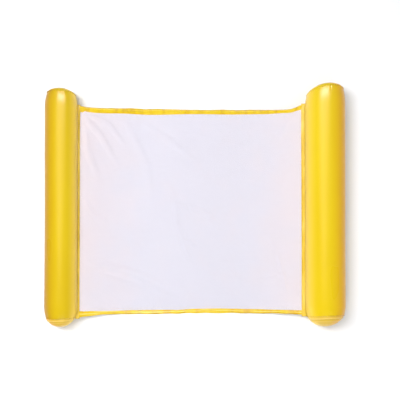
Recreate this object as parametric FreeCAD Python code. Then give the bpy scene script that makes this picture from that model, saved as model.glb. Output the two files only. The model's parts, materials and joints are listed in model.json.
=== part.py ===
# Water hammock: two inflated PVC tubes joined by a sheet of fine mesh with welded vinyl edges.
# +X runs from the thin foot tube to the thick head tube, +Y to the far ends of the tubes, +Z up.
# The origin is on the floor, under the middle of the whole object's box.
import FreeCAD, Part
import math
import os

from FreeCAD import Placement, Rotation, Vector

# Sizes, in millimetres and degrees
overall_width = 1200.0        # X, over the outsides of both tubes
seam_to_seam = 900.0          # length of each tube between its two end seams
film = 0.5                    # PVC wall, caps
end_taper = 24.0              # length over which a tube draws in to its end seam
lip_height = 2.5              # how far the end weld stands out
lip_thick = 0.8               # each of its two layers

tubes = {
    "foot": {
        "side": -1,           # at -X
        "radius": 66.0,
        "seam_radius": 57.0,
        "dome": 32.0,         # how far an end cap bulges
        "foot_half": 14.0,    # half width of the flat where the tube stands
        "rise": 48.0,         # height of the seat where it meets the flange strips
        "strip_width": 12.0,  # flange strip, measured along X
        "valve_y": 330.0,
    },
    "head": {
        "side": 1,
        "radius": 80.0,
        "seam_radius": 72.5,
        "dome": 38.0,
        "foot_half": 15.0,
        "rise": 57.0,
        "strip_width": 18.0,
        "valve_y": -330.0,
    },
}

mesh_thick = 0.8              # thicker than real mesh, so that it is a sound closed solid
tape = 0.5                    # vinyl of the hems and the flange strips
seat_slope = 20.0             # slope of the seat where it meets the flange strips
trim_slope = 4.0              # the seat's curve is drawn this much further round, then trimmed
hem_width = 18.0
near_edge, near_bow = -450.0, 12.0   # outer edge of the near hem at the tubes, and how far it bows in
far_edge, far_bow = 400.0, 7.0
strip_past = 6.0              # how far the flange strips run past the hems
mesh_in_strip = 6.0           # how far the mesh reaches in between the strips
fold_gap = 0.6                # between the two halves of the seat, at the fold

valve_below = 30.0            # angle of the valves below the horizontal
base_radius = 18.0
base_thick = 0.8
neck_radius, neck_wall, neck_depth = 9.0, 0.7, 12.0
stem_radius, stem_bore = 5.5, 3.9
stem_lip_radius, stem_lip, stem_lip_z = 7.0, 1.2, 1.2
plug_clear = 0.08             # radial, between the plug's shank and the bore
plug_head_radius, plug_head, shank_length = 7.5, 2.0, 9.5
flap_radius, flap_thick = 4.8, 0.8
strap_width, strap_thick, strap_reach = 3.0, 0.9, 4.5
cut_reach = 10.0              # how far a cutting cylinder runs to each side of a valve's wall

x_axis, y_axis, z_axis = Vector(1, 0, 0), Vector(0, 1, 0), Vector(0, 0, 1)
big = 3000.0

for t in tubes.values():
    t["axis_z"] = math.sqrt(t["radius"] ** 2 - t["foot_half"] ** 2)
    t["axis_x"] = t["side"] * (overall_width / 2 - t["radius"])
    drop = t["axis_z"] - t["rise"]
    t["inner_x"] = t["axis_x"] - t["side"] * math.sqrt(t["radius"] ** 2 - drop ** 2)
    t["hinge_x"] = t["inner_x"] - t["side"] * t["strip_width"]
    t["arc_radius"] = (t["rise"] - tape - mesh_thick / 2) / (1 - math.cos(math.radians(seat_slope)))
    t["flat_end"] = t["hinge_x"] - t["side"] * t["arc_radius"] * math.sin(math.radians(seat_slope))

seat_mid_z = tape + mesh_thick / 2                     # middle of the mesh where it lies flat
fold_x = (tubes["foot"]["hinge_x"] + tubes["head"]["hinge_x"]) / 2


def wire(*curves):
    return Part.Wire([c.toShape() for c in curves])


def line(a, b):
    return Part.LineSegment(a, b)


def above(z):
    """Everything above a height."""
    return Part.makeBox(2 * big, 2 * big, big, Vector(-big, -big, z))


def tube_profile(t, inset):
    """Half section of a closed tube body without its caps, radius along X and the tube's axis along Y."""
    drop = t["radius"] - t["seam_radius"]
    bend = (end_taper ** 2 + drop ** 2) / (2 * drop)           # tangent to the barrel, through the seam
    turn = math.asin(end_taper / bend)
    far = []                                                   # from the barrel's end to the far seam
    for a in (0, turn / 2, turn):
        out, along = (bend - inset) * math.cos(a), (bend - inset) * math.sin(a)
        far.append(Vector(t["radius"] - bend + out, seam_to_seam / 2 - end_taper + along, 0))
    near = [Vector(p.x, -p.y, 0) for p in far]
    far_axis, near_axis = Vector(0, far[2].y, 0), Vector(0, near[2].y, 0)
    return wire(line(near[0], far[0]), Part.Arc(*far), line(far[2], far_axis), line(far_axis, near_axis),
                line(near_axis, near[2]), Part.Arc(*near[::-1]))


def upright(t, shape):
    """Moves a shape that was made round the Y axis to a tube's own axis."""
    shape.translate(Vector(t["axis_x"], 0, t["axis_z"]))
    return shape


def ring(inner, outer, y0, y1):
    """A flat ring round the Y axis."""
    solid = Part.makeCylinder(outer, y1 - y0, Vector(0, y0, 0), y_axis)
    return solid.cut(Part.makeCylinder(inner, y1 - y0, Vector(0, y0, 0), y_axis))


def barrel(t, inset):
    """The solid that a tube's film encloses, flat where it stands on the floor."""
    body = Part.Face(tube_profile(t, inset)).revolve(Vector(0, 0, 0), y_axis, 360)
    return upright(t, body).common(above(inset))


def tube_wall(t):
    end = seam_to_seam / 2
    rs = t["seam_radius"]
    skin = barrel(t, 0).cut(barrel(t, film))
    for s in (1, -1):
        bore = Part.makeCylinder(rs - film, 2 * film, Vector(0, s * end - film, 0), y_axis)
        skin = skin.cut(upright(t, bore))
        inner, outer = sorted((s * (end - lip_thick), s * end))
        skin = skin.fuse(upright(t, ring(rs - film, rs + lip_height, inner, outer)))
    return skin.cut(valve_place(t, cutter(neck_radius, 0))).removeSplitter()


def cap(t, end_side):
    """An end disc blown into a dome, with its own half of the weld lip."""
    rs, h = t["seam_radius"], t["dome"]
    y = seam_to_seam / 2
    r = (rs ** 2 + h ** 2) / (2 * h)
    centre = Vector(0, y + h - r, 0)
    past = Part.makeBox(4 * rs, 2 * h, 4 * rs, Vector(-2 * rs, y, -2 * rs))
    dome = Part.makeSphere(r, centre).cut(Part.makeSphere(r - film, centre)).common(past)
    shape = dome.fuse(ring(rs - film, rs + lip_height, y, y + lip_thick)).removeSplitter()
    if end_side < 0:
        shape = shape.mirror(Vector(0, 0, 0), y_axis)
    return upright(t, shape)


def seat_arc(t, offset):
    """Three points of the arc that rises from the floor to a tube, at a distance from the middle surface."""
    r = t["arc_radius"] - offset
    centre = Vector(t["flat_end"], 0, seat_mid_z + t["arc_radius"])
    run_past = math.radians(seat_slope + trim_slope)
    return [centre + Vector(t["side"] * r * math.sin(a), 0, -r * math.cos(a)) for a in (0, run_past / 2, run_past)]


def seat_layer(low, high, x0, x1, y0, y1):
    """Part of the seat's curved sheet, between two distances from its middle surface."""
    foot_low, foot_high = seat_arc(tubes["foot"], low), seat_arc(tubes["foot"], high)
    head_low, head_high = seat_arc(tubes["head"], low), seat_arc(tubes["head"], high)
    outline = wire(Part.Arc(*foot_low), line(foot_low[2], foot_high[2]), Part.Arc(*foot_high[::-1]),
                   line(foot_high[0], head_high[0]), Part.Arc(*head_high), line(head_high[2], head_low[2]),
                   Part.Arc(*head_low[::-1]), line(head_low[0], foot_low[0]))
    sheet = Part.Face(outline).extrude(Vector(0, y1 - y0, 0))
    sheet.translate(Vector(0, y0, 0))
    return sheet.common(Part.makeBox(x1 - x0, y1 - y0, big, Vector(x0, y0, -big / 2)))


def bowed(edge, bow, inward):
    """Three points of a seat edge, at its two ends and its middle, where it bows in."""
    return [Vector(tubes["foot"]["hinge_x"], edge, 0), Vector(fold_x, edge + inward * bow, 0),
            Vector(tubes["head"]["hinge_x"], edge, 0)]


def band(edge, bow, inward, start, width):
    """A tall slab whose plan is a strip along a bowed edge, from start to start + width inside it."""
    outer, inner = [[p + Vector(0, inward * d, -big / 2) for p in bowed(edge, bow, inward)]
                    for d in (start, start + width)]
    outline = wire(Part.Arc(*outer), line(outer[2], inner[2]), Part.Arc(*inner[::-1]), line(inner[0], outer[0]))
    return Part.Face(outline).extrude(Vector(0, 0, big))


def half_range(name):
    """X range of one half of the seat, from the fold to the hinge line at its tube."""
    t = tubes[name]
    ends = sorted((fold_x + t["side"] * fold_gap / 2, t["hinge_x"]))
    return ends[0], ends[1]


def mesh_half(name):
    """One half of the mesh. Its tube edge reaches in between the flange strips."""
    t = tubes[name]
    half = mesh_thick / 2
    x0, x1 = half_range(name)
    sheet = seat_layer(-half, half, x0, x1, near_edge - hem_width, far_edge + hem_width)
    depth = far_edge - near_edge - tape
    sheet = sheet.common(band(near_edge, near_bow, 1, tape, depth))
    sheet = sheet.common(band(far_edge, far_bow, -1, tape, depth))
    ends = sorted((t["hinge_x"], t["hinge_x"] + t["side"] * mesh_in_strip))
    tongue = seat_layer(-half, half, ends[0], ends[1], near_edge + tape, far_edge - tape)
    return sheet.fuse(tongue).removeSplitter()


def hem_half(name, edge, bow, inward):
    """One half of a hem: a tape folded over the edge of the mesh and welded to both faces."""
    half = mesh_thick / 2
    x0, x1 = half_range(name)
    y0, y1 = near_edge - hem_width, far_edge + hem_width
    whole = seat_layer(-half - tape, half + tape, x0, x1, y0, y1).common(band(edge, bow, inward, 0, hem_width))
    slot = seat_layer(-half, half, x0, x1, y0, y1).common(band(edge, bow, inward, tape, hem_width))
    return whole.cut(slot)


def flange_strip(name, over):
    """The strip from the tube's wall onto one face of the mesh; over is +1 on top and -1 below."""
    t = tubes[name]
    half = mesh_thick / 2
    low, high = sorted((over * half, over * (half + tape)))
    ends = sorted((t["hinge_x"], t["axis_x"]))
    strip = seat_layer(low, high, ends[0], ends[1], near_edge - strip_past, far_edge + strip_past)
    clear = Part.makeCylinder(t["radius"], seam_to_seam + end_taper,
                              Vector(t["axis_x"], -(seam_to_seam + end_taper) / 2, t["axis_z"]), y_axis)
    pieces = strip.cut(clear).Solids
    return min(pieces, key=lambda p: abs(p.CenterOfMass.x - t["hinge_x"]))


def valve_place(t, shape):
    """Moves a shape from the valve's own frame, +Z out of the wall, to its place on the tube's outer side."""
    outward = math.radians(90 + valve_below)
    turn = Rotation(y_axis, math.degrees(outward) * t["side"])
    out = turn.multVec(z_axis)
    foot = Vector(t["axis_x"], t["valve_y"], t["axis_z"]) + out * t["radius"]
    shape = shape.copy()
    shape.Placement = Placement(foot, turn).multiply(shape.Placement)
    return shape


def cutter(radius, height):
    """A cylinder round the valve's own axis that reaches well past a height on both sides."""
    return Part.makeCylinder(radius, 2 * cut_reach, Vector(0, 0, height - cut_reach), z_axis)


def turned(*points):
    """A solid of revolution round the valve's own axis, from (radius, height) corners."""
    corners = [Vector(r, 0, z) for r, z in points]
    return Part.Face(Part.makePolygon(corners + corners[:1])).revolve(Vector(0, 0, 0), z_axis, 360)


def valve_base(t):
    """A round patch on the outside of the wall, curved like the wall."""
    r = t["radius"]
    axis_point = Vector(0, -2 * base_radius, -r)
    sleeve = Part.makeCylinder(r + base_thick, 4 * base_radius, axis_point, y_axis)
    sleeve = sleeve.cut(Part.makeCylinder(r, 4 * base_radius, axis_point, y_axis))
    return valve_place(t, sleeve.common(cutter(base_radius, 0)).cut(cutter(neck_radius, 0)))


def valve_neck(t):
    """The soft cup that hangs in the wall's hole and holds the stem at its bottom."""
    r, w, d = neck_radius, neck_wall, neck_depth
    return valve_place(t, turned((r - w, base_thick), (r, base_thick), (r, -d), (stem_radius, -d),
                                 (stem_radius, w - d), (r - w, w - d)))


def valve_stem(t):
    """The mouthpiece, a tube with a lip round its outer end."""
    lip, top = stem_lip_z, stem_lip_z + stem_lip
    bottom = -neck_depth - tape
    return valve_place(t, turned((stem_bore, top), (stem_lip_radius, top), (stem_lip_radius, lip),
                                 (stem_radius, lip), (stem_radius, bottom), (stem_bore, bottom)))


def valve_plug(t):
    """A round plug with a flat head."""
    seat = stem_lip_z + stem_lip + plug_clear
    r = stem_bore - plug_clear
    return valve_place(t, turned((0, seat + plug_head), (plug_head_radius, seat + plug_head),
                                 (plug_head_radius, seat), (r, seat), (r, seat - shank_length), (0, seat - shank_length)))


def valve_flap(t):
    """The one-way flap under the inner end of the stem."""
    top = -neck_depth - tape - plug_clear
    return valve_place(t, Part.makeCylinder(flap_radius, flap_thick, Vector(0, 0, top - flap_thick), z_axis))


def valve_strap(t):
    """The strap from the stem's lip round to the plug's head."""
    low = stem_lip_z + stem_lip / 2
    high = stem_lip_z + stem_lip + plug_clear + plug_head / 2
    bend, half = (high - low) / 2, strap_thick / 2
    y = plug_head_radius + strap_reach
    mid = (low + high) / 2
    a, b = stem_lip_radius, plug_head_radius
    outer = Part.Arc(Vector(0, y, low - half), Vector(0, y + bend + half, mid), Vector(0, y, high + half))
    inner = Part.Arc(Vector(0, y, high - half), Vector(0, y + bend - half, mid), Vector(0, y, low + half))
    outline = wire(line(Vector(0, a, low - half), Vector(0, y, low - half)), outer,
                   line(Vector(0, y, high + half), Vector(0, b, high + half)),
                   line(Vector(0, b, high + half), Vector(0, b, high - half)),
                   line(Vector(0, b, high - half), Vector(0, y, high - half)), inner,
                   line(Vector(0, y, low + half), Vector(0, a, low + half)),
                   line(Vector(0, a, low + half), Vector(0, a, low - half)))
    strap = Part.Face(outline).extrude(Vector(strap_width, 0, 0))
    strap.translate(Vector(-strap_width / 2, 0, 0))
    return valve_place(t, strap.cut(cutter(stem_lip_radius, low)))


os.makedirs("parts", exist_ok=True)
nodes = {}
for name, t in tubes.items():
    nodes[name + "_tube_wall"] = tube_wall(t)
    nodes[name + "_near_cap"] = cap(t, -1)
    nodes[name + "_far_cap"] = cap(t, 1)
    nodes[name + "_flange_upper"] = flange_strip(name, 1)
    nodes[name + "_flange_lower"] = flange_strip(name, -1)
    nodes[name + "_valve_base"] = valve_base(t)
    nodes[name + "_valve_neck"] = valve_neck(t)
    nodes[name + "_valve_stem"] = valve_stem(t)
    nodes[name + "_valve_plug"] = valve_plug(t)
    nodes[name + "_valve_flap"] = valve_flap(t)
    nodes[name + "_valve_strap"] = valve_strap(t)
    nodes["mesh_" + name + "_half"] = mesh_half(name)
    nodes["near_hem_" + name + "_half"] = hem_half(name, near_edge, near_bow, 1)
    nodes["far_hem_" + name + "_half"] = hem_half(name, far_edge, far_bow, -1)

for name, shape in nodes.items():
    box = shape.BoundBox
    print(name, shape.isValid(), len(shape.Solids), "volume", round(shape.Volume),
          "x", round(box.XMin, 2), round(box.XMax, 2), "y", round(box.YMin, 2), round(box.YMax, 2),
          "z", round(box.ZMin, 2), round(box.ZMax, 2))
    shape.exportStep("parts/" + name + ".step")
for name, t in tubes.items():
    print(name, "axis", round(t["axis_x"], 3), round(t["axis_z"], 3), "inner", round(t["inner_x"], 3),
          "hinge", round(t["hinge_x"], 3), t["rise"], "flat end", round(t["flat_end"], 2))
print("fold", round(fold_x, 3), "top", seat_mid_z + mesh_thick / 2 + tape)
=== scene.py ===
# Water hammock pool float: two glossy vinyl air tubes joined by a soft net seat with vinyl hems
import json
import math

import bpy
import numpy as np
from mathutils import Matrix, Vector


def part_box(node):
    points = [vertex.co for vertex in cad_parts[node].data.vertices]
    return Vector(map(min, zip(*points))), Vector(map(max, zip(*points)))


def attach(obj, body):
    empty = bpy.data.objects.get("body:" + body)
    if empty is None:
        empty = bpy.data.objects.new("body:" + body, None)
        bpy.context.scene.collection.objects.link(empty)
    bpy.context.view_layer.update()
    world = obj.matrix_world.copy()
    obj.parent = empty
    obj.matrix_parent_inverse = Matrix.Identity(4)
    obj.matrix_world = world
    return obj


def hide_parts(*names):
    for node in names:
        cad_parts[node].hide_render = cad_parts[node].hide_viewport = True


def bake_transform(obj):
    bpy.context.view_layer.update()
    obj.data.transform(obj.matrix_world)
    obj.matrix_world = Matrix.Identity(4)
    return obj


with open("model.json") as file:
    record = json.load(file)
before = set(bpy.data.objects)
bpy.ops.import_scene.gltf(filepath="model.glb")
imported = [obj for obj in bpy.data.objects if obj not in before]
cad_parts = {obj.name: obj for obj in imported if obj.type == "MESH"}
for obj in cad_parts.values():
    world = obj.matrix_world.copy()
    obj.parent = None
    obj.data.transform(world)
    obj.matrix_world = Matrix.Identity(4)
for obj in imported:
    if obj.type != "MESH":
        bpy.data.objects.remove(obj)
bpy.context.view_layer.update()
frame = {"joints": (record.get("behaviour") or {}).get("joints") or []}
joints = {j["name"]: j for j in frame["joints"]}
scene = bpy.context.scene
print("frame loaded")


# small helpers for meshes

def newObject(name, vertices, faces):
    mesh = bpy.data.meshes.new(name)
    mesh.from_pydata([tuple(v) for v in vertices], [], faces)
    mesh.update()
    obj = bpy.data.objects.new(name, mesh)
    scene.collection.objects.link(obj)
    return obj


def gridFaces(rows, columns, wrap=False, flip=False, loop=False):
    faces = []
    for i in range(rows if loop else rows - 1):
        n = (i + 1) % rows
        for j in range(columns if wrap else columns - 1):
            k = (j + 1) % columns
            face = (i * columns + j, i * columns + k, n * columns + k, n * columns + j)
            faces.append(face[::-1] if flip else face)
    return faces


def writeOnPoints(obj, name, values, kind="FLOAT"):
    attribute = obj.data.attributes.new(name, kind, "POINT")
    attribute.data.foreach_set("value" if kind == "FLOAT" else "vector", np.array(values, np.float32).ravel())


def smooth(obj):
    obj.data.polygons.foreach_set("use_smooth", [True] * len(obj.data.polygons))
    obj.data.update()


def writeSheetUv(obj, uv):
    layer = obj.data.uv_layers.new(name="sheetUV")
    index = np.zeros(len(obj.data.loops), int)
    obj.data.loops.foreach_get("vertex_index", index)
    layer.data.foreach_set("uv", uv.reshape(-1, 2)[index].ravel())


# points is rows x columns x 3; wrap closes each row into a ring, loop joins the last row to the first, and
# lids close the two ends
def gridObject(name, points, wrap=False, flip=False, lids=False, uv=None, loop=False):
    rows, columns = points.shape[:2]
    faces = gridFaces(rows, columns, wrap, flip, loop)
    if lids:
        first, last = list(range(columns)), list(range((rows - 1) * columns, rows * columns))
        faces += [tuple(first if flip else first[::-1]), tuple(last[::-1] if flip else last)]
    obj = newObject(name, points.reshape(-1, 3), faces)
    if uv is not None:
        writeSheetUv(obj, uv)
    smooth(obj)
    return obj


def solidify(obj, thickness, offset):
    wall = obj.modifiers.new("wall", "SOLIDIFY")
    wall.thickness = thickness
    wall.offset = offset
    wall.use_even_offset = False


# a smooth seeded unevenness, about -1 to 1, for arrays of places
def softField(seed, scale, stretch=(1, 1, 1)):
    draw = np.random.default_rng(seed)
    directions = draw.normal(size=(9, 3)) * np.array(stretch)
    phases = draw.uniform(0, math.tau, 9)

    def field(x, y, z=0.0):
        total = 0.0
        for (a, b, c), phase in zip(directions, phases):
            total = total + np.cos(scale * (a * x + b * y + c * z) + phase)
        return total / 4

    return field


def smoothStep(value, low, high):
    t = np.clip((value - low) / (high - low), 0, 1)
    return t * t * (3 - 2 * t)


# a smooth curve through (place, value) pairs
def smoothCurve(pairs):
    places = np.array([p for p, v in pairs])
    values = np.array([v for p, v in pairs])
    slopes = np.gradient(values, places)

    def curve(x):
        x = np.clip(x, places[0], places[-1])
        i = np.clip(np.searchsorted(places, x, side="right") - 1, 0, len(places) - 2)
        h = places[i + 1] - places[i]
        t = (x - places[i]) / h
        return ((2 * t**3 - 3 * t**2 + 1) * values[i] + (t**3 - 2 * t**2 + t) * h * slopes[i]
                + (3 * t**2 - 2 * t**3) * values[i + 1] + (t**3 - t**2) * h * slopes[i + 1])

    return curve


# sizes read from the frame

valveBelow = math.radians(30)     # how far round below the level the valves sit, on the outer sides


def readTube(name, side, ends):
    lo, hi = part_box(name + "_tube_wall")
    capLo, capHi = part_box(name + "_far_cap")
    hinge = joints[name + "_tube_fold"]["pos_m"]
    patchLo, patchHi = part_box(name + "_valve_base")
    radius = (hi.x - lo.x) / 2
    return {
        "name": name,
        "side": side,
        "radius": radius,
        "x": (lo.x + hi.x) / 2,
        "z": hi.z - radius,
        "end": hi.y,
        "seamRadius": (capHi.x - capLo.x) / 2 - 0.0025,
        "hingeX": hinge[0],
        "hingeZ": hinge[2],
        "valveY": (patchLo.y + patchHi.y) / 2,
        "valveAngle": math.atan2(-math.sin(valveBelow), side * math.cos(valveBelow)),
        "ends": ends,
    }


# how each end seam sits, in metres: out along Y, more on the +X side, more at the top, and its dome
foot = readTube("foot", -1, {
    "near": {"out": 0.0038, "slant": -0.0022, "lean": -0.0005, "dome": 0.0335, "seed": 11},
    "far": {"out": -0.0095, "slant": -0.004, "lean": 0.0055, "dome": 0.022, "seed": 12},
})
head = readTube("head", 1, {
    "near": {"out": -0.0063, "slant": -0.0027, "lean": -0.0047, "dome": 0.040, "seed": 13},
    "far": {"out": -0.006, "slant": 0.010, "lean": 0.014, "dome": 0.030, "seed": 14},
})
tubes = [foot, head]


# materials

def principled(name):
    material = bpy.data.materials.new(name)
    material.use_nodes = True
    tree = material.node_tree
    return material, tree, tree.nodes["Principled BSDF"]


def objectCoords(tree, scale=(1, 1, 1)):
    coords = tree.nodes.new("ShaderNodeTexCoord")
    mapping = tree.nodes.new("ShaderNodeMapping")
    mapping.inputs["Scale"].default_value = scale
    tree.links.new(coords.outputs["Object"], mapping.inputs["Vector"])
    return mapping.outputs["Vector"]


def noiseNode(tree, vector, scale, detail=2.0, roughness=0.5):
    node = tree.nodes.new("ShaderNodeTexNoise")
    node.inputs["Scale"].default_value = scale
    node.inputs["Detail"].default_value = detail
    node.inputs["Roughness"].default_value = roughness
    tree.links.new(vector, node.inputs["Vector"])
    return node.outputs["Fac"]


def ramp(tree, factor, stops):
    node = tree.nodes.new("ShaderNodeValToRGB")
    element = node.color_ramp.elements
    element[0].position, element[0].color = stops[0][0], (*stops[0][1], 1)
    element[1].position, element[1].color = stops[-1][0], (*stops[-1][1], 1)
    for position, color in stops[1:-1]:
        element.new(position).color = (*color, 1)
    tree.links.new(factor, node.inputs["Fac"])
    return node.outputs["Color"]


def mapRange(tree, value, toLow, toHigh, fromLow=0.3, fromHigh=0.7):
    node = tree.nodes.new("ShaderNodeMapRange")
    node.inputs["From Min"].default_value = fromLow
    node.inputs["From Max"].default_value = fromHigh
    node.inputs["To Min"].default_value = toLow
    node.inputs["To Max"].default_value = toHigh
    tree.links.new(value, node.inputs["Value"])
    return node.outputs["Result"]


def mathNode(tree, operation, a, b=None):
    node = tree.nodes.new("ShaderNodeMath")
    node.operation = operation
    for socket, value in zip(node.inputs, (a, b)):
        if isinstance(value, (int, float)):
            socket.default_value = value
        elif value is not None:
            tree.links.new(value, socket)
    return node.outputs["Value"]


def bump(tree, height, strength, distance, under=None):
    node = tree.nodes.new("ShaderNodeBump")
    node.inputs["Strength"].default_value = strength
    node.inputs["Distance"].default_value = distance
    tree.links.new(height, node.inputs["Height"])
    if under is not None:
        tree.links.new(under, node.inputs["Normal"])
    return node.outputs["Normal"]


tubeVinylLook = {
    "deep": (0.69, 0.475, 0.002),
    "main": (0.715, 0.505, 0.002),
    "light": (0.74, 0.54, 0.003),
    # painted shade: deeper orange on the tubes' outer sides, where less light falls
    "outside": (0.84, 0.43, 0.015),
    "inside": (0.88, 0.61, 0.07),    # painted bounce light: paler where the seat's white net would shine back on the tube
    "roughLow": 0.27,
    "roughHigh": 0.33,
    "wrinkleScale": 9,
    "wrinkleDepth": 0.0005,
}
# the foot tube's darker copy of the same vinyl: painted shade, as less light falls on the foot tube than on
# the head tube; its outer side is darker still
shadedFootVinylLook = {
    **tubeVinylLook,
    "deep": (0.585, 0.395, 0.002),
    "main": (0.61, 0.42, 0.002),
    "light": (0.635, 0.45, 0.003),
    "outside": (0.52, 0.265, 0.002),
}
# the near caps' own copy of the tube vinyl, recoloured for how light falls on them: painted light and shade
nearCapPaintedLightLook = {
    **tubeVinylLook,
    "deep": (0.66, 0.41, 0.02),
    "main": (0.70, 0.45, 0.03),
    "light": (0.75, 0.50, 0.05),
    "paintedCreaseShade": (0.56, 0.35, 0.01),   # painted shade in the crease just inside the weld
    "weldWhiteAndHighlight": (0.82, 0.58, 0.13),    # film whitened by the weld, partly a painted highlight on the swell and the lip
}
edgeVinylLook = {
    **tubeVinylLook,
    "deep": (0.60, 0.36, 0.002),
    "light": (0.74, 0.53, 0.02),
    "wrinkleScale": 70,
    "wrinkleDepth": 0.0014,
}
# the flange strips' paler copy of the edge vinyl: painted light that lifts the shade where the strips meet
# the tubes
litStripVinylLook = {
    **edgeVinylLook,
    "deep": (0.62, 0.40, 0.02),
    "main": (0.72, 0.49, 0.04),
    "light": (0.84, 0.62, 0.12),
}
# the seam ribs' dark copy of the vinyl: painted shade standing in for the gathers at the seams
seamRibShadeLook = {
    **tubeVinylLook,
    "deep": (0.26, 0.19, 0.01),
    "main": (0.36, 0.27, 0.01),
    "light": (0.55, 0.42, 0.03),
    "wrinkleScale": 60,
}


# mixes in one colour where the attribute is above zero, and another where it is below
def tintBy(tree, color, attributeName, above, below):
    mark = tree.nodes.new("ShaderNodeAttribute")
    mark.attribute_name = attributeName
    for tint, sign in ((above, 1), (below, -1)):
        mix = tree.nodes.new("ShaderNodeMix")
        mix.data_type = "RGBA"
        tree.links.new(mathNode(tree, "MULTIPLY", mark.outputs["Fac"], sign), mix.inputs["Factor"])
        tree.links.new(color, mix.inputs["A"])
        mix.inputs["B"].default_value = (*tint, 1)
        color = mix.outputs["Result"]
    return color


def vinylMaterial(name, look):
    material, tree, shader = principled(name)
    place = objectCoords(tree)
    stretched = objectCoords(tree, (1, 0.3, 1))
    cloud = noiseNode(tree, stretched, look["wrinkleScale"] * 0.6, 3)
    stops = [(0.3, look["deep"]), (0.5, look["main"]), (0.74, look["light"])]
    # painted shade on the tubes' outer sides and painted bounce light on their seat sides
    color = tintBy(tree, ramp(tree, cloud, stops), "turn", look["outside"], look["inside"])
    # near caps only: a pale weld ring, partly painted highlight, and painted shade in the crease inside it
    if "paintedCreaseShade" in look:
        color = tintBy(tree, color, "weld", look["weldWhiteAndHighlight"], look["paintedCreaseShade"])
    tree.links.new(color, shader.inputs["Base Color"])
    haze = noiseNode(tree, stretched, 7, 2)
    tree.links.new(mapRange(tree, haze, look["roughLow"], look["roughHigh"]), shader.inputs["Roughness"])
    fine = bump(tree, noiseNode(tree, place, 700, 1), 0.05, 0.00003)
    soft = noiseNode(tree, stretched, look["wrinkleScale"], 2)
    tree.links.new(bump(tree, soft, 0.5, look["wrinkleDepth"], fine), shader.inputs["Normal"])
    shader.inputs["IOR"].default_value = 1.48
    shader.inputs["Specular IOR Level"].default_value = 0.3
    shader.inputs["Sheen Weight"].default_value = 0.04
    shader.inputs["Sheen Roughness"].default_value = 0.3
    shader.inputs["Sheen Tint"].default_value = (1.0, 0.72, 0.6, 1)
    return material


netLook = {
    "thread": (0.685, 0.675, 0.765),
    "paintedTubeBounce": (0.745, 0.672, 0.722),     # painted bounce light from the yellow tubes, pinker near them
    "paintedBounceFrom": (0.2, 0.46),
    "pitch": 0.0022,
    "holeAlpha": 0.35,
}


# fine crossing threads along the sheet's own two directions, with small holes between them
def netMaterial(look):
    material, tree, shader = principled("white_net")
    uv = tree.nodes.new("ShaderNodeUVMap")
    uv.uv_map = "sheetUV"
    split = tree.nodes.new("ShaderNodeSeparateXYZ")
    tree.links.new(uv.outputs["UV"], split.inputs["Vector"])
    turns = math.tau / look["pitch"]
    across = mathNode(tree, "SINE", mathNode(tree, "MULTIPLY", split.outputs["X"], turns))
    along = mathNode(tree, "SINE", mathNode(tree, "MULTIPLY", split.outputs["Y"], turns))
    threads = mathNode(tree, "MAXIMUM", across, along)
    cover = mapRange(tree, threads, look["holeAlpha"], 1.0, -0.45, 0.1)
    tree.links.new(cover, shader.inputs["Alpha"])
    place = tree.nodes.new("ShaderNodeSeparateXYZ")
    tree.links.new(objectCoords(tree), place.inputs["Vector"])
    fromMiddle = mathNode(tree, "ABSOLUTE", place.outputs["X"])
    # painted bounce light from the tubes, growing towards each side
    paintedBounce = mapRange(tree, fromMiddle, 0.0, 0.8, *look["paintedBounceFrom"])
    cloud = mapRange(tree, noiseNode(tree, objectCoords(tree), 9, 3, 0.6), -0.2, 0.2)
    shade = mathNode(tree, "ADD", paintedBounce, cloud)
    color = ramp(tree, shade, [(0.0, look["thread"]), (1.0, look["paintedTubeBounce"])])
    tree.links.new(color, shader.inputs["Base Color"])
    creases = noiseNode(tree, objectCoords(tree, (1, 1.6, 1)), 26, 3, 0.55)
    weave = bump(tree, threads, 0.4, 0.0004)
    tree.links.new(bump(tree, creases, 0.35, 0.004, weave), shader.inputs["Normal"])
    shader.inputs["Roughness"].default_value = 0.62
    shader.inputs["Specular IOR Level"].default_value = 0.3
    shader.inputs["Sheen Weight"].default_value = 0.05
    return material


def valveMaterial():
    material, tree, shader = principled("clear_soft_plastic")
    cloud = noiseNode(tree, objectCoords(tree), 60, 2)
    stops = [(0.3, (0.66, 0.63, 0.5)), (0.7, (0.76, 0.74, 0.64))]
    tree.links.new(ramp(tree, cloud, stops), shader.inputs["Base Color"])
    grain = noiseNode(tree, objectCoords(tree), 1500, 1)
    tree.links.new(bump(tree, grain, 0.3, 0.00005), shader.inputs["Normal"])
    shader.inputs["Roughness"].default_value = 0.36
    shader.inputs["Subsurface Weight"].default_value = 0.2
    shader.inputs["Subsurface Scale"].default_value = 0.003
    return material


headVinyl = vinylMaterial("yellow_head_tube_vinyl", tubeVinylLook)
shadedFootVinyl = vinylMaterial("yellow_foot_tube_vinyl_painted_shade", shadedFootVinylLook)
nearCapPaintedLightVinyl = vinylMaterial("yellow_near_cap_vinyl_painted_light", nearCapPaintedLightLook)
edgeVinyl = vinylMaterial("yellow_edge_vinyl", edgeVinylLook)
litStripVinyl = vinylMaterial("yellow_strip_vinyl_painted_light", litStripVinylLook)
seamRibShadeVinyl = vinylMaterial("seam_rib_vinyl_painted_shade", seamRibShadeLook)
netCloth = netMaterial(netLook)
valvePlastic = valveMaterial()
foot["vinyl"], head["vinyl"] = shadedFootVinyl, headVinyl
print("materials made")


def dress(obj, material, slot, *nodes, body=None):
    obj.data.materials.append(material)
    if nodes:
        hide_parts(*nodes)
    if body:
        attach(obj, body)


# valve outlines are (radius, height) points in metres, height outwards from the tube's surface

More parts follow.
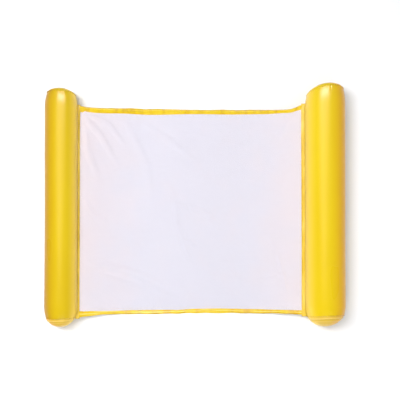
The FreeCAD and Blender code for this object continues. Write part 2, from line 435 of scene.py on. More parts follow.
valveLook = {
    "around": 96,
    "hole": 0.0088,
    "bevel": 0.0003,
    "patch": [(0.0087, -0.0005), (0.0087, 0.0008), (0.0148, 0.0008), (0.0153, 0.0012), (0.0160, 0.0012),
              (0.0165, 0.0007), (0.0180, 0.0006), (0.0180, -0.0005)],
    "neck": [(0.0083, 0.0011), (0.0091, 0.0014), (0.0098, 0.0011), (0.0098, 0.0007), (0.0090, 0.0004),
             (0.0090, -0.0120), (0.0055, -0.0120), (0.0055, -0.0113), (0.0083, -0.0113)],
    "stem": [(0.0039, 0.0024), (0.0070, 0.0024), (0.0070, 0.0012), (0.0055, 0.0012), (0.0055, -0.0030),
             (0.0058, -0.0033), (0.0055, -0.0036), (0.0055, -0.0060), (0.0058, -0.0063), (0.0055, -0.0066),
             (0.0055, -0.0125), (0.0039, -0.0125)],
    "plug": [(0.0001, 0.0040), (0.0048, 0.0040), (0.0055, 0.0045), (0.0075, 0.0044), (0.0075, 0.0025),
             (0.0038, 0.0025), (0.0038, -0.0030), (0.0036, -0.0066), (0.0030, -0.0070), (0.0001, -0.0070)],
    "flap": [(0.0001, -0.0126), (0.0048, -0.0126), (0.0048, -0.0133), (0.0030, -0.0131), (0.0001, -0.0131)],
    # the strap's middle line, as (along the tube, height)
    "strap": [(0.0058, 0.0018), (0.0080, 0.0019), (0.0106, 0.0023), (0.0121, 0.0031), (0.0106, 0.0038),
              (0.0085, 0.0037), (0.0064, 0.0035)],
    "strapSize": (0.0030, 0.0009),
    "tab": [(-0.0066, 0.0036), (-0.0085, 0.0037), (-0.0106, 0.0041)],
    "tabSize": (0.0044, 0.0011),
    "neckTurns": (-0.001, -0.0113),      # heights between which the neck goes from the wall to the stem
    "strapBends": (0.0019, 0.0034),      # and the strap from the stem to the plug
}


# corner points with each corner rounded off and long runs divided
def rounded(corners, bevel, closed=True, step=0.0009):
    corners = np.array(corners)
    points = []
    for i, here in enumerate(corners):
        if not closed and i in (0, len(corners) - 1):
            points.append(here)
            continue
        toBefore, toAfter = corners[i - 1] - here, corners[(i + 1) % len(corners)] - here
        start = here + toBefore * min(bevel / np.linalg.norm(toBefore), 0.45)
        end = here + toAfter * min(bevel / np.linalg.norm(toAfter), 0.45)
        for t in (0, 1 / 3, 2 / 3, 1):
            points.append(start * (1 - t) ** 2 + here * 2 * t * (1 - t) + end * t**2)
    divided = []
    for i, here in enumerate(points):
        divided.append(here)
        after = points[(i + 1) % len(points)] if closed or i < len(points) - 1 else here
        pieces = int(np.linalg.norm(after - here) / step)
        divided += [here + (after - here) * k / (pieces + 1) for k in range(1, pieces + 1)]
    return np.array(divided)


# a valve's own axes: side across the tube, the tube's length, and out of its wall
def valvePlace(tube, side, along, out):
    outward = np.array((tube["side"] * math.cos(valveBelow), 0, -math.sin(valveBelow)))
    sideways = np.cross((0, 1, 0), outward)
    middle = np.array((tube["x"], tube["valveY"], tube["z"])) + outward * tube["radius"]
    side, along, out = (v[..., None] for v in np.broadcast_arrays(side, along, out))
    return middle + side * sideways + along * np.array((0, 1, 0)) + out * outward


# a piece turned round the valve's axis, bored through or solid; what lies on the wall curves with it
def turned(name, tube, outline, look, bored=True):
    angles = np.linspace(0, math.tau, look["around"], endpoint=False)[None, :]
    r, z = outline[:, :1], outline[:, 1:]
    across = r * np.cos(angles)
    drop = tube["radius"] - np.sqrt(tube["radius"] ** 2 - across**2)
    height = z - drop * smoothStep(z, -0.006, 0.0005) * (r > 0.0078)
    points = valvePlace(tube, across, r * np.sin(angles), height)
    return gridObject(name, points, wrap=True, flip=True, lids=not bored, loop=bored)


def cutHole(wall, tube, look):
    outline = np.array([(0.0001, 0.006), (look["hole"], 0.006), (look["hole"], -0.006), (0.0001, -0.006)])
    cutter = turned("valveHole", tube, outline, look, bored=False)
    modifier = wall.modifiers.new("valve hole", "BOOLEAN")
    modifier.operation = "DIFFERENCE"
    modifier.solver = "EXACT"
    modifier.object = cutter
    graph = bpy.context.evaluated_depsgraph_get()
    mesh = bpy.data.meshes.new_from_object(wall.evaluated_get(graph))
    wall.modifiers.clear()
    wall.data = mesh
    bpy.data.objects.remove(cutter)


# air tubes: a wall that draws in to a gathered seam at each end, and a domed cap welded on there

tubeLook = {
    "around": 400,
    "taper": 0.064,           # length over which the wall draws in to the seam
    "taperPower": 2.3,
    "film": 0.0005,
    "trueNearValve": 0.036,   # the wall is an even round within this reach of the valve
    "lipHeight": 0.0013,
    "lipWave": 0.0004,        # how far the trimmed edge of the weld wanders
    "lipWaves": 33,
    "creases": 40,            # gathers round each seam
    "creaseDepth": 0.0011,
    "offsetReach": 0.15,      # how far a slanted seam is felt along the wall
    "endRows": 26,
    "endLength": 0.12,
    "middleRows": 50,
    "capRows": 40,
    "capStart": 0.975,        # where the dome starts, as a share of the seam's radius
    "capLift": 0.0016,        # the dome's root above the seam
    "uneven": 0.0007,         # slow bumps in the blown wall
}
tubeUneven = {-1: softField(21, 9, (1, 0.45, 1)), 1: softField(22, 9, (1, 0.45, 1))}


def creaseSet(seed, count):
    draw = np.random.default_rng(seed)
    return {
        "angle": (np.arange(count) + draw.uniform(-0.38, 0.38, count)) * math.tau / count,
        "depth": draw.uniform(0.25, 1.0, count) ** 1.5,
        "width": draw.uniform(0.0013, 0.0034, count),
        "length": draw.uniform(0.0022, 0.0075, count),
    }


# gathers in the film beside a seam; s is the distance from the seam along the film
def gathered(tube, end, angles, s):
    creases = creaseSet(end["seed"], tubeLook["creases"])
    total = np.zeros(np.broadcast(angles, s).shape)
    for angle, depth, width, length in zip(*(creases[k] for k in ("angle", "depth", "width", "length"))):
        apart = (angles - angle + math.pi) % math.tau - math.pi
        narrow = np.exp(-(apart * tube["seamRadius"] / (width * (1 + s * 60))) ** 2)
        total -= depth * narrow * (0.35 + s / length) * np.exp(0.65 - s / length)
    return total * tubeLook["creaseDepth"]


def seamOffset(end, angles):
    return end["out"] + end["slant"] * np.cos(angles) + end["lean"] * np.sin(angles)


def tubeRadius(tube, angles, s, y):
    t = np.clip(s / tubeLook["taper"], 0, 1)
    r = tube["seamRadius"] + (tube["radius"] - tube["seamRadius"]) * (1 - (1 - t) ** tubeLook["taperPower"])
    aroundTube = tube["radius"] * ((angles - tube["valveAngle"] + math.pi) % math.tau - math.pi)
    fromValve = 1 - np.exp(-(aroundTube**2 + (y - tube["valveY"]) ** 2) / tubeLook["trueNearValve"] ** 2)
    fade = smoothStep(s, 0.0, 0.06) * fromValve
    uneven = tubeUneven[tube["side"]](np.cos(angles) * 0.08, y, np.sin(angles) * 0.08)
    return r + fade * (tubeLook["uneven"] * uneven - tubeLook["uneven"])


# how far each point has turned to the float's outside, or to the seat below zero, as a point attribute; it
# only steers the painted shade on the outer sides and the painted bounce light on the seat sides
def markPaintedSideShade(obj, tube):
    places = np.zeros(len(obj.data.vertices) * 3)
    obj.data.vertices.foreach_get("co", places)
    places = places.reshape(-1, 3)
    turn = np.arctan2((places[:, 0] - tube["x"]) * tube["side"], places[:, 2] - tube["z"])
    apart = np.abs(turn)
    start = np.where(turn > 0, 0.0, 0.5)
    fade = np.where(turn > 0, 0.7, 0.1) * smoothStep(apart, 1.35, 2.2)
    share = smoothStep(apart, start, np.where(turn > 0, 1.1, 1.25)) * (1 - fade)
    writeOnPoints(obj, "turn", share * np.sign(turn))


def makeWall(tube, look):
    angles = np.linspace(0, math.tau, look["around"], endpoint=False)[None, :]
    steps = look["endLength"] * np.linspace(0, 1, look["endRows"])[:, None] ** 2.0
    blocks = []
    for word, sign in (("near", -1), ("far", 1)):
        end = tube["ends"][word]
        offset = seamOffset(end, angles)
        fade = 1 - smoothStep(steps, 0, look["offsetReach"])
        y = sign * (tube["end"] + offset * fade - steps)
        r = tubeRadius(tube, angles, steps, y) + gathered(tube, end, angles, steps)
        lip = tube["seamRadius"] + look["lipHeight"]
        lip = lip + look["lipWave"] * np.cos(angles * look["lipWaves"] + end["seed"])
        lipY = sign * (tube["end"] + offset)
        edge = [np.stack(np.broadcast_arrays(lip - a, lipY - sign * b), -1) for a, b in
                ((0.0, 0.0), (0.0, 0.0009), (look["lipHeight"] * 0.7, 0.0012))]
        rows = np.concatenate(edge + [np.stack(np.broadcast_arrays(r, y), -1)[1:]])
        blocks.append(rows if sign < 0 else rows[::-1])
    half = tube["end"] - look["endLength"]
    middle = np.linspace(-half, half, look["middleRows"])[1:-1, None]
    s = tube["end"] - np.abs(middle)
    between = []
    for word, sign in (("near", -1), ("far", 1)):
        fade = 1 - smoothStep(s, 0, look["offsetReach"])
        between.append(sign * seamOffset(tube["ends"][word], angles) * fade * (np.sign(middle) == sign))
    y = middle + between[0] + between[1]
    blocks.insert(1, np.stack(np.broadcast_arrays(tubeRadius(tube, angles, s, y), y), -1))
    rows = np.concatenate(blocks)
    r, y = rows[..., 0], rows[..., 1]
    x = tube["x"] + r * np.cos(angles)
    z = np.maximum(tube["z"] + r * np.sin(angles), 0.0)
    obj = gridObject(tube["name"] + "TubeWall", np.stack([x, y, z], -1), wrap=True, flip=True)
    markPaintedSideShade(obj, tube)
    solidify(obj, look["film"], -1)
    cutHole(obj, tube, valveLook)
    return obj


def makeCap(tube, word, look):
    end, sign = tube["ends"][word], (1 if word == "far" else -1)
    angles = np.linspace(0, math.tau, look["around"], endpoint=False)[None, :]
    rs = tube["seamRadius"]
    lip = rs + look["lipHeight"]
    t = (np.linspace(0, 1, look["capRows"]) ** 1.35)[:, None]
    q = (1 - t) * look["capStart"]                         # share of the seam's radius
    height = end["dome"] * (1 - (q / look["capStart"]) ** 2) ** 0.7 + look["capLift"]
    # a crease inside the weld, the swell beside it, and a second, shallow crease
    ring = softField(end["seed"] + 40, 40)(np.cos(angles) * 0.06, 0, np.sin(angles) * 0.06)
    height = height - 0.0020 * np.exp(-((q - 0.86) / 0.022) ** 2) * (1 + 0.3 * ring)
    height = height + 0.0014 * np.exp(-((q - 0.91) / 0.022) ** 2)
    height = height - 0.0010 * np.exp(-((q - 0.70) / 0.04) ** 2) * (1 + 0.5 * ring)
    height = height + gathered(tube, end, angles + 0.03, (1 - q) * rs * 1.1) * 1.1
    dome = np.stack(np.broadcast_arrays(q * rs, height), -1)
    wave = look["lipWave"] * np.cos(angles * look["lipWaves"] + end["seed"])
    edge = [np.stack(np.broadcast_arrays(lip + wave - a, b + 0 * angles), -1) for a, b in
            ((0.0, 0.0001), (0.0, 0.0010), (look["lipHeight"] * 0.75, 0.0014))]
    rows = np.concatenate(edge + [dome])[:-1]
    r, h = rows[..., 0], rows[..., 1]
    share = r / lip
    y = sign * (tube["end"] + end["out"] + share * (seamOffset(end, angles) - end["out"]) + h)
    points = np.stack([tube["x"] + r * np.cos(angles), y, tube["z"] + r * np.sin(angles)], -1)
    count, columns = points.shape[:2]
    pole = (tube["x"], sign * (tube["end"] + end["out"] + end["dome"] + look["capLift"]), tube["z"])
    faces = gridFaces(count, columns, wrap=True, flip=sign > 0)
    last = (count - 1) * columns
    for j in range(columns):
        face = (last + j, last + (j + 1) % columns, count * columns)
        faces.append(face if sign < 0 else face[::-1])
    vertices = list(points.reshape(-1, 3)) + [pole]
    obj = newObject(tube["name"] + word.capitalize() + "Cap", vertices, faces)
    smooth(obj)
    markPaintedSideShade(obj, tube)
    # the weld attribute: pale on the lip and on the swell by the weld, partly painted highlight, and painted
    # shade in the crease
    paleWeldAndHighlight = np.exp(-((q - 0.925) / 0.022) ** 2) + 0.5 * np.exp(-((q - 0.80) / 0.025) ** 2)
    mark = np.clip(paleWeldAndHighlight - np.exp(-((q - 0.865) / 0.02) ** 2), -1, 1)[:, 0]
    weld = np.concatenate([[0.6] * len(edge), mark])[:-1]
    writeOnPoints(obj, "weld", np.append(np.repeat(weld, columns), 0.0))
    solidify(obj, look["film"], -1)
    return obj


for tube in tubes:
    name = tube["name"]
    wall = makeWall(tube, tubeLook)
    dress(wall, tube["vinyl"], "tube_vinyl", name + "_tube_wall", body=name + "_tube")
    for word in ("near", "far"):
        cap = makeCap(tube, word, tubeLook)
        # the near caps take their own recoloured copy of the vinyl: painted light and shade
        vinyl = nearCapPaintedLightVinyl if word == "near" else tube["vinyl"]
        dress(cap, vinyl, "tube_vinyl", name + "_" + word + "_cap", body=name + "_tube")
print("air tubes made")


# welded ribs round each seam, one small block repeated by a node tree; they are coloured dark as painted
# shade of the seam's gathers

def groupInputs(tree, inputs):
    for name, kind, value in inputs:
        socket = tree.interface.new_socket(name=name, in_out="INPUT", socket_type=kind)
        if value is not None:
            socket.default_value = value
    tree.interface.new_socket(name="Geometry", in_out="OUTPUT", socket_type="NodeSocketGeometry")
    return tree.nodes.new("NodeGroupInput"), tree.nodes.new("NodeGroupOutput")


# a rounded rib on each point of the base mesh, lying along the point's own direction
def ribTree(material):
    tree = bpy.data.node_groups.new("ribs on points", "GeometryNodeTree")
    inputs, output = groupInputs(tree, [
        ("Geometry", "NodeSocketGeometry", None),
        ("Length", "NodeSocketFloat", 0.004),
        ("Width", "NodeSocketFloat", 0.001),
        ("Height", "NodeSocketFloat", 0.0006),
        ("Uneven", "NodeSocketFloat", 0.2),
        ("Seed", "NodeSocketInt", 4),
    ])
    link = tree.links.new
    ball = tree.nodes.new("GeometryNodeMeshUVSphere")
    ball.inputs["Segments"].default_value = 8
    ball.inputs["Rings"].default_value = 5
    ball.inputs["Radius"].default_value = 0.5
    size = tree.nodes.new("ShaderNodeCombineXYZ")
    link(inputs.outputs["Length"], size.inputs["X"])
    link(inputs.outputs["Width"], size.inputs["Y"])
    link(inputs.outputs["Height"], size.inputs["Z"])
    shape = tree.nodes.new("GeometryNodeTransform")
    link(ball.outputs["Mesh"], shape.inputs["Geometry"])
    link(size.outputs["Vector"], shape.inputs["Scale"])
    turns = {}
    for axis, attributeName in (("X", "along"), ("Z", "outward")):
        vector = tree.nodes.new("GeometryNodeInputNamedAttribute")
        vector.data_type = "FLOAT_VECTOR"
        vector.inputs["Name"].default_value = attributeName
        turns[axis] = tree.nodes.new("FunctionNodeAlignRotationToVector")
        turns[axis].axis = axis
        link(vector.outputs["Attribute"], turns[axis].inputs["Vector"])
    turns["Z"].pivot_axis = "X"
    link(turns["X"].outputs["Rotation"], turns["Z"].inputs["Rotation"])
    vary = tree.nodes.new("FunctionNodeRandomValue")
    vary.data_type = "FLOAT"
    link(mathNode(tree, "SUBTRACT", 1.0, inputs.outputs["Uneven"]), vary.inputs[2])
    link(mathNode(tree, "ADD", 1.0, inputs.outputs["Uneven"]), vary.inputs[3])
    link(inputs.outputs["Seed"], vary.inputs["Seed"])
    place = tree.nodes.new("GeometryNodeInstanceOnPoints")
    link(inputs.outputs["Geometry"], place.inputs["Points"])
    link(shape.outputs["Geometry"], place.inputs["Instance"])
    link(turns["Z"].outputs["Rotation"], place.inputs["Rotation"])
    link(vary.outputs[1], place.inputs["Scale"])
    real = tree.nodes.new("GeometryNodeRealizeInstances")
    link(place.outputs["Instances"], real.inputs["Geometry"])
    paint = tree.nodes.new("GeometryNodeSetMaterial")
    paint.inputs["Material"].default_value = material
    link(real.outputs["Geometry"], paint.inputs["Geometry"])
    link(paint.outputs["Geometry"], output.inputs["Geometry"])
    return tree


def ribsOn(name, points, along, outward, material, sizes):
    base = newObject(name + "Points", points, [])
    writeOnPoints(base, "along", along, "FLOAT_VECTOR")
    writeOnPoints(base, "outward", outward, "FLOAT_VECTOR")
    modifier = base.modifiers.new("ribs", "NODES")
    modifier.node_group = ribTree(material)
    for item in modifier.node_group.interface.items_tree:
        if item.in_out == "INPUT" and item.name in sizes:
            modifier[item.identifier] = sizes[item.name]
    graph = bpy.context.evaluated_depsgraph_get()
    mesh = bpy.data.meshes.new_from_object(base.evaluated_get(graph))
    obj = bpy.data.objects.new(name, mesh)
    scene.collection.objects.link(obj)
    bpy.data.objects.remove(base)
    smooth(obj)
    return obj


seamRibs = {"Length": 0.0060, "Width": 0.0016, "Height": 0.0014, "Uneven": 0.35, "Seed": 4}
ribSpacing, ribOut = 0.0105, 0.0012      # along the seam, and out from its radius


def makeSeamRibs(tube, word):
    end, sign = tube["ends"][word], (1 if word == "far" else -1)
    r = tube["seamRadius"] + ribOut
    count = int(math.tau * r / ribSpacing)
    angles = np.arange(count) * math.tau / count
    y = sign * (tube["end"] + seamOffset(end, angles) + 0.0008)
    points = np.stack([tube["x"] + r * np.cos(angles), y, tube["z"] + r * np.sin(angles)], -1)
    outward = np.stack([np.cos(angles), 0 * angles, np.sin(angles)], -1)
    along = np.stack([-np.sin(angles), 0 * angles, np.cos(angles)], -1)
    return ribsOn(tube["name"] + word.capitalize() + "SeamRibs", points, along, outward, seamRibShadeVinyl, seamRibs)


for tube in tubes:
    for word in ("near", "far"):
        ribs = makeSeamRibs(tube, word)
        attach(ribs, tube["name"] + "_tube")
print("seam ribs made")


# net seat, its hems and its flange strips

seatLook = {
    "slope": 20,              # degrees, where the seat meets the flange strips
    "floorGap": 0.0009,       # middle of the net above the floor where it lies
    "columns": 225,           # along X
    "rows": 215,              # along Y
    "tongue": 0.005,          # how far the net reaches in between the strips
    "thick": 0.0004,
    "foldGain": 2.0,          # strength of the soft folds below
    "foldLimit": 0.0062,      # no fold rises past this, so the folded foot tube clears the net
    "ripple": 0.0016,
    "crinkle": 0.00035,
    "calmAtHems": 0.05,       # how far from the hems and the strips the net lies smooth
    "calmAtStrips": 0.03,
    "lowest": 0.0004,
    "farEdge": [(-0.462, 0.3993), (-0.443, 0.3965), (-0.385, 0.3957), (-0.305, 0.3966), (-0.183, 0.3957),
                (0.0215, 0.392), (0.226, 0.3905), (0.346, 0.3865), (0.388, 0.3873), (0.416, 0.396),
                (0.43, 0.402)],
    "nearEdge": [(-0.462, -0.4515), (-0.421, -0.448), (-0.3825, -0.4447), (-0.182, -0.4426), (0.0215, -0.439),
                 (0.2246, -0.4385), (0.383, -0.4393), (0.43, -0.441)],
    "farWidth": [(-0.462, 0.027), (-0.443, 0.024), (-0.385, 0.0225), (-0.305, 0.0215), (-0.183, 0.0245),
                 (0.0215, 0.0178), (0.226, 0.0205), (0.385, 0.015), (0.43, 0.019)],
    "nearWidth": [(-0.462, 0.024), (-0.3825, 0.0168), (-0.182, 0.017), (0.0215, 0.0195), (0.2246, 0.017),
                  (0.383, 0.0165), (0.43, 0.018)],
}
# soft folds in the net: points along each, height, half width
netFolds = [
    ([(-0.468, 0.377), (-0.387, 0.288), (-0.313, 0.165)], 0.0032, 0.011),
    ([(-0.462, 0.349), (-0.436, 0.226), (-0.387, 0.104)], 0.0030, 0.012),
    ([(-0.440, 0.372), (-0.350, 0.330), (-0.290, 0.250)], 0.0020, 0.010),
    ([(-0.466, 0.050), (-0.407, -0.039), (-0.346, -0.080)], 0.0022, 0.010),
    ([(-0.462, -0.231), (-0.346, -0.247), (-0.223, -0.284), (-0.040, -0.374)], 0.0042, 0.013),
    ([(-0.440, -0.262), (-0.330, -0.285), (-0.200, -0.330)], 0.0016, 0.010),
    ([(-0.093, 0.012), (-0.050, 0.000), (-0.019, -0.027)], 0.0018, 0.007),
    ([(-0.030, 0.000), (0.040, -0.030), (0.103, -0.080)], 0.0024, 0.009),
    ([(-0.060, -0.141), (-0.010, -0.150), (0.026, -0.178)], 0.0018, 0.007),
    ([(-0.223, 0.349), (-0.100, 0.262), (0.0215, 0.165)], 0.0016, 0.012),
    ([(-0.290, 0.358), (-0.235, 0.250), (-0.193, 0.163), (-0.180, 0.040)], 0.0022, 0.014),
    ([(-0.120, 0.100), (-0.080, 0.030), (-0.075, -0.060), (-0.040, -0.170), (0.000, -0.260)], 0.0016, 0.012),
    ([(0.000, 0.300), (0.110, 0.250), (0.240, 0.240)], 0.0009, 0.012),
    ([(0.300, -0.120), (0.345, -0.230), (0.380, -0.390)], 0.0012, 0.010),
    ([(0.250, -0.310), (0.330, -0.280), (0.400, -0.300)], 0.0010, 0.009),
    ([(0.418, 0.372), (0.380, 0.340), (0.350, 0.270)], 0.0016, 0.012),
]
hingeSpan = (foot["hingeX"], head["hingeX"])
farEdge, nearEdge = smoothCurve(seatLook["farEdge"]), smoothCurve(seatLook["nearEdge"])
farWidth, nearWidth = smoothCurve(seatLook["farWidth"]), smoothCurve(seatLook["nearWidth"])
netRipple, netCrinkle = softField(31, 16), softField(32, 48)
for tube in tubes:
    rise = tube["hingeZ"] - seatLook["floorGap"]
    slope = math.radians(seatLook["slope"])
    tube["arc"] = rise / (1 - math.cos(slope))
    tube["flatEnd"] = tube["hingeX"] - tube["side"] * tube["arc"] * math.sin(slope)


# height of the seat's middle surface, without wrinkles
def seatHeight(x):
    z = seatLook["floorGap"] + 0 * x
    for tube in tubes:
        past = np.maximum((x - tube["flatEnd"]) * tube["side"], 0)
        z = z + tube["arc"] - np.sqrt(tube["arc"] ** 2 - past**2)
    return z


def foldHeight(x, y, points, height, width):
    nearest, where = np.full(x.shape, 9.0), np.zeros(x.shape)
    pieces = len(points) - 1
    for i, ((ax, ay), (bx, by)) in enumerate(zip(points[:-1], points[1:])):
        dx, dy = bx - ax, by - ay
        t = np.clip(((x - ax) * dx + (y - ay) * dy) / (dx * dx + dy * dy), 0, 1)
        apart = np.hypot(x - ax - t * dx, y - ay - t * dy)
        closer = apart < nearest
        nearest = np.where(closer, apart, nearest)
        where = np.where(closer, (i + t) / pieces, where)
    return height * np.exp(-(nearest / width) ** 2) * np.sin(math.pi * np.clip(where, 0.02, 0.98)) ** 0.7


def netWrinkle(x, y):
    hemGap, stripGap = seatLook["calmAtHems"], seatLook["calmAtStrips"]
    inside = np.minimum.reduce([
        (y - nearEdge(x)) / hemGap,
        (farEdge(x) - y) / hemGap,
        (x - hingeSpan[0]) / stripGap,
        (hingeSpan[1] - x) / stripGap,
        np.ones(np.broadcast(x, y).shape),
    ])
    inside = smoothStep(inside, 0, 1)
    total = seatLook["ripple"] * (netRipple(x, y) + 1) + seatLook["crinkle"] * netCrinkle(x, y)
    for points, height, width in netFolds:
        total = total + foldHeight(x, y, points, height * seatLook["foldGain"], width)
    limit = seatLook["foldLimit"]
    return limit * np.tanh(total / limit) * inside


def seatSurface(x, y):
    return np.maximum(seatHeight(x) + netWrinkle(x, y), seatLook["lowest"])


def makeNet(look):
    xs = np.linspace(hingeSpan[0] - look["tongue"], hingeSpan[1] + look["tongue"], look["columns"])
    heights = seatHeight(xs)
    lengths = np.concatenate([[0], np.cumsum(np.hypot(np.diff(xs), np.diff(heights)))])
    held = np.clip(xs, *hingeSpan)
    low, high = nearEdge(held) + nearWidth(held) * 0.7, farEdge(held) - farWidth(held) * 0.7
    t = np.linspace(0, 1, look["rows"])[:, None]
    y = low + (high - low) * t
    x = np.broadcast_to(xs, y.shape)
    points = np.stack([x, y, seatSurface(x, y)], -1)
    uv = np.stack(np.broadcast_arrays(lengths[None, :], y), -1)
    obj = gridObject("netSeat", points, uv=uv)
    solidify(obj, look["thick"], 0)
    return obj, (lengths[-1], look["farEdge"][0][1] - look["nearEdge"][0][1])


net, netFlat = makeNet(seatLook)
dress(net, netCloth, "seat_mesh", "mesh_foot_half", "mesh_head_half")
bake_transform(net)
print("net made")

hemLook = {
    "steps": 560,
    "around": 36,
    "puff": {"near": 0.0034, "far": 0.0054},   # height of the rolled tape
    "twist": 17,              # degrees either way
    "crumple": 0.0008,
}


def makeHem(word, look):
    near = word == "near"
    inward = 1 if near else -1
    seed = 50 if near else 60
    edge, width = (nearEdge, nearWidth) if near else (farEdge, farWidth)
    xs = np.linspace(hingeSpan[0] - 0.004, hingeSpan[1] + 0.004, look["steps"])[:, None]
    a = np.linspace(0, math.tau, look["around"], endpoint=False)[None, :]
    across = 0.5 - 0.5 * np.cos(a)                         # 0 at the fold, 1 at the welded inner edge
    twistField, lumpField = softField(seed, 22), softField(seed + 1, 60)
    pinchField, crumpleField = softField(seed + 2, 130), softField(seed + 3, 260)
    tilt = math.radians(look["twist"]) * twistField(xs, 0)
    roll = np.sin(a) * (1 - across**3) ** 0.8
    lump = 1 + 0.3 * lumpField(xs, across * 0.02) + 0.12 * pinchField(xs, across * 0.02)
    ridge = np.exp(-((across - 0.32 - 0.1 * twistField(xs, 1)) / 0.16) ** 2)
    crease = np.exp(-((across - 0.66 - 0.08 * lumpField(xs, 0.3)) / 0.06) ** 2)
    onTop = np.sin(a) > 0
    height = look["puff"][word] * roll * lump * (0.55 + 0.6 * ridge) - 0.0007 * crease * onTop
    height = height + look["crumple"] * 0.35 * crumpleField(xs, across * 0.03) * (1 - across) * onTop
    reach = width(xs) * across + look["crumple"] * lumpField(xs, 0.7) * (1 - across)
    y = edge(xs) + inward * (reach * np.cos(tilt) - height * np.sin(tilt))
    x = np.broadcast_to(xs, y.shape)
    z = seatHeight(x) + 0.0006 + height * np.cos(tilt) + (reach - width(xs)) * np.sin(tilt) * 0.6
    low = 0.0001 + 0.0006 * (1 + np.sin(a)) * (1 - across)
    points = np.stack([x, y, np.maximum(z, low)], -1)
    return gridObject(word + "Hem", points, wrap=True, flip=near, lids=True)


hems = {}
for word in ("near", "far"):
    hems[word] = makeHem(word, hemLook)
    dress(hems[word], edgeVinyl, "edge_vinyl", word + "_hem_foot_half", word + "_hem_head_half")
    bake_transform(hems[word])
print("hems made")

stripLook = {
    "steps": 420,
    "thick": 0.0006,
    "weld": 0.010,            # how far each strip runs up or down the tube's wall
    "past": 0.006,            # how far the strips run past the hems
    "inset": 0.003,           # the strips' free edge, from the hinge line towards the tube
    "turn": 7,                # points across the free part
}


def makeStrip(tube, over, look):
    side = tube["side"]
    slope = math.radians(seatLook["slope"])
    corner = 0 if side < 0 else -1
    yNear = seatLook["nearEdge"][corner][1] - look["past"]
    yFar = seatLook["farEdge"][corner][1] + look["past"] * 0.5
    y = np.linspace(yNear, yFar, look["steps"])[:, None]
    rootAngle = math.atan2(tube["hingeZ"] + 0.004 - tube["z"], tube["hingeX"] - tube["x"])
    s = np.clip(tube["end"] - np.abs(y), 0, None)
    r = tubeRadius(tube, rootAngle, s, y) + 0.0004 + 0.0003 * over
    wavy, fine = softField(70 + over, 18), softField(75 + over, 55)
    up = np.linspace(1, 0, 5)[None, :] * look["weld"] * (1 + 0.08 * fine(y, side))
    angle = rootAngle - over * side * up / r
    wallX, wallZ = tube["x"] + r * np.cos(angle), tube["z"] + r * np.sin(angle)
    t = (np.arange(1, look["turn"] + 1) / look["turn"])[None, :]
    goalX = tube["hingeX"] + side * look["inset"] + 0.0005 * wavy(y, side + over * 0.2)
    goalZ = tube["hingeZ"] + look["inset"] * math.tan(slope) + over * 0.0008
    arch = np.sin(math.pi * t)
    sag = arch * (0.0012 * over + 0.0013 * wavy(y, side * 2) + 0.0005 * fine(y + t * 0.02, side))
    # towards its near end the strip sinks into one long fold
    fold = smoothStep(-y, 0.10 if side < 0 else 0.33, 0.44) * np.exp(-((t - 0.45) / 0.3) ** 2)
    sag = sag - (0.0035 if over > 0 else 0.002) * fold
    freeX = wallX[:, -1:] + (goalX - wallX[:, -1:]) * t
    freeZ = wallZ[:, -1:] + (goalZ - wallZ[:, -1:]) * t + sag
    x = np.concatenate([wallX, freeX], 1)
    z = np.concatenate([wallZ, freeZ], 1)
    points = np.stack([x, np.broadcast_to(y, x.shape), z], -1)
    if over * side > 0:
        points = points[:, ::-1]
    word = "Upper" if over > 0 else "Lower"
    obj = gridObject(tube["name"] + "Flange" + word, points)
    solidify(obj, look["thick"], 0)
    return obj


for tube in tubes:
    for over, word in ((1, "upper"), (-1, "lower")):
        strip = makeStrip(tube, over, stripLook)
        name = tube["name"]
        dress(strip, litStripVinyl, "edge_vinyl", name + "_flange_" + word)
        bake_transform(strip)

print("flange strips made")


# valves on the tubes' outer sides: a welded patch, a soft neck between the wall and the stem, the stem, a
# plug on a strap, and the one-way flap

def makePatch(tube, look):
    outline = rounded(look["patch"], look["bevel"])
    angles = np.linspace(0, math.tau, look["around"] * 2, endpoint=False)[None, :]
    r, h = outline[:, :1], outline[:, 1:]
    rim = smoothStep(r, 0.0140, 0.0178) * (h > 0)
    h = h + rim * (0.00022 * np.cos(angles * 11 + 1) + 0.00014 * np.cos(angles * 23))
    around = tube["valveAngle"] + r * np.cos(angles) / tube["radius"]
    y = tube["valveY"] + r * np.sin(angles)
    out = tubeRadius(tube, around, tube["end"] - np.abs(y), y) + h
    points = np.stack([tube["x"] + out * np.cos(around), y, tube["z"] + out * np.sin(around)], -1)
    return gridObject(tube["name"] + "ValvePatch", points, wrap=True, flip=False, loop=True)


# a flat rounded strip along a middle line, which lies in the plane of the valve's axis and the tube's length
def makeBand(name, tube, line, size):
    path = rounded(line, 0.0012, closed=False, step=0.0004)
    steps = np.gradient(path, axis=0)
    steps = steps / np.linalg.norm(steps, axis=1)[:, None]
    a = np.linspace(0, math.tau, 28, endpoint=False)[None, :]
    across = size[0] / 2 * np.sign(np.cos(a)) * np.abs(np.cos(a)) ** 0.45
    proud = size[1] / 2 * np.sign(np.sin(a)) * np.abs(np.sin(a)) ** 0.45
    along = path[:, :1] - steps[:, 1:] * proud
    out = path[:, 1:] + steps[:, :1] * proud
    return gridObject(name, valvePlace(tube, across, along, out), wrap=True, flip=True, lids=True)


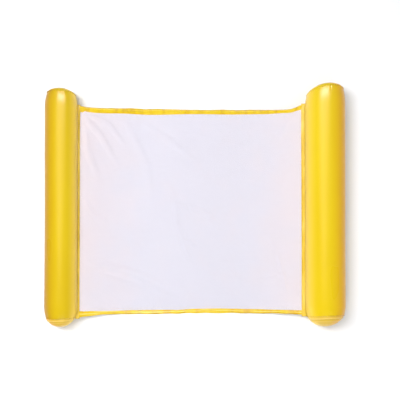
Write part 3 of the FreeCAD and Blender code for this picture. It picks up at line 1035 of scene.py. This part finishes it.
for tube in tubes:
    name, look = tube["name"], valveLook
    patch = makePatch(tube, look)
    markPaintedSideShade(patch, tube)
    dress(patch, tube["vinyl"], "tube_vinyl", name + "_valve_base", body=name + "_tube")
    pieces = {}
    for part, bored in (("neck", True), ("stem", True), ("plug", False), ("flap", False)):
        outline = rounded(look[part], look["bevel"], closed=bored)
        piece = turned(name + "Valve" + part.capitalize(), tube, outline, look, bored)
        dress(piece, valvePlastic, "valve_plastic", name + "_valve_" + part)
        pieces[part] = piece
    strap = makeBand(name + "ValveStrap", tube, look["strap"], look["strapSize"])
    dress(strap, valvePlastic, "valve_plastic", name + "_valve_strap")
    tab = makeBand(name + "ValveTab", tube, look["tab"], look["tabSize"])
    dress(tab, valvePlastic, "valve_plastic")
    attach(pieces["stem"], name + "_stem")
    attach(pieces["plug"], name + "_plug")
    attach(tab, name + "_plug")
    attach(pieces["flap"], name + "_flap")
    neckStart, neckEnd = (valvePlace(tube, 0, 0, out) for out in look["neckTurns"])
    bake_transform(pieces["neck"])
    strapStart, strapEnd = (valvePlace(tube, 0, 0, out) for out in look["strapBends"])
    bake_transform(strap)
print("valves made")


# studio

studio = {
    "floorSize": 14,
    "floorColor": (0.92, 0.93, 0.95),
    "worldColor": (0.93, 0.96, 1.0),
    "worldStrength": 0.44,
    "lights": [
        # name, place, aim, width and depth, power, colour, and which finishes it lights
        ("overheadBox", (-0.92, 0.38, 3.3), (0, 0, 0), (0.9, 2.2), 102, (1.0, 0.99, 0.98), "matt"),
        ("glossBox", (-0.1, 0.5, 3.3), (0, 0, 0), (2.6, 1.6), 20, (1.0, 0.97, 0.92), "gloss"),
        ("farBox", (-0.05, 1.84, 2.45), (0, 0.2, 0), (2.4, 1.0), 260, (1.0, 0.76, 0.82), "gloss"),
        ("nearBox", (0.3, -2.6, 2.2), (0, 0, 0), (2.4, 0.6), 28, (1.0, 0.97, 0.95), "both"),
    ],
}


def makeFloor(look):
    half = look["floorSize"] / 2
    corners = [(x * half, y * half, -0.0005) for x, y in ((-1, -1), (1, -1), (1, 1), (-1, 1))]
    floor = newObject("studioFloor", corners, [(0, 1, 2, 3)])
    material, tree, shader = principled("white_floor")
    shader.inputs["Base Color"].default_value = (*look["floorColor"], 1)
    shader.inputs["Roughness"].default_value = 0.9
    shader.inputs["Specular IOR Level"].default_value = 0.1
    floor.data.materials.append(material)


def makeLights(look):
    for name, place, aim, size, power, color, finish in look["lights"]:
        light = bpy.data.lights.new(name, "AREA")
        light.shape = "RECTANGLE"
        light.size, light.size_y = size
        light.energy = power
        light.color = color
        lamp = bpy.data.objects.new(name, light)
        lamp.location = place
        lamp.rotation_euler = (Vector(aim) - Vector(place)).to_track_quat("-Z", "Y").to_euler()
        lamp.visible_camera = False
        lamp.visible_diffuse = finish != "gloss"
        lamp.visible_glossy = finish != "matt"
        scene.collection.objects.link(lamp)
    world = bpy.data.worlds.new("studioWorld")
    world.use_nodes = True
    background = world.node_tree.nodes["Background"]
    background.inputs["Color"].default_value = (*look["worldColor"], 1)
    background.inputs["Strength"].default_value = look["worldStrength"]
    scene.world = world
    scene.view_settings.view_transform = "Standard"


cameraLook = {"height": 3.0, "x": 0.0215, "y": -0.205, "tilt": 1.22, "lens": 66.15, "shiftY": 0.1}


def makeCamera(look):
    camera = bpy.data.objects.new("camera", bpy.data.cameras.new("camera"))
    camera.data.lens = look["lens"]
    camera.data.sensor_width = 36
    camera.data.shift_y = look["shiftY"]
    camera.location = (look["x"], look["y"], look["height"])
    camera.rotation_euler = (math.radians(look["tilt"]), 0, 0)
    scene.collection.objects.link(camera)
    scene.camera = camera


makeFloor(studio)
makeLights(studio)
makeCamera(cameraLook)
print("studio made")
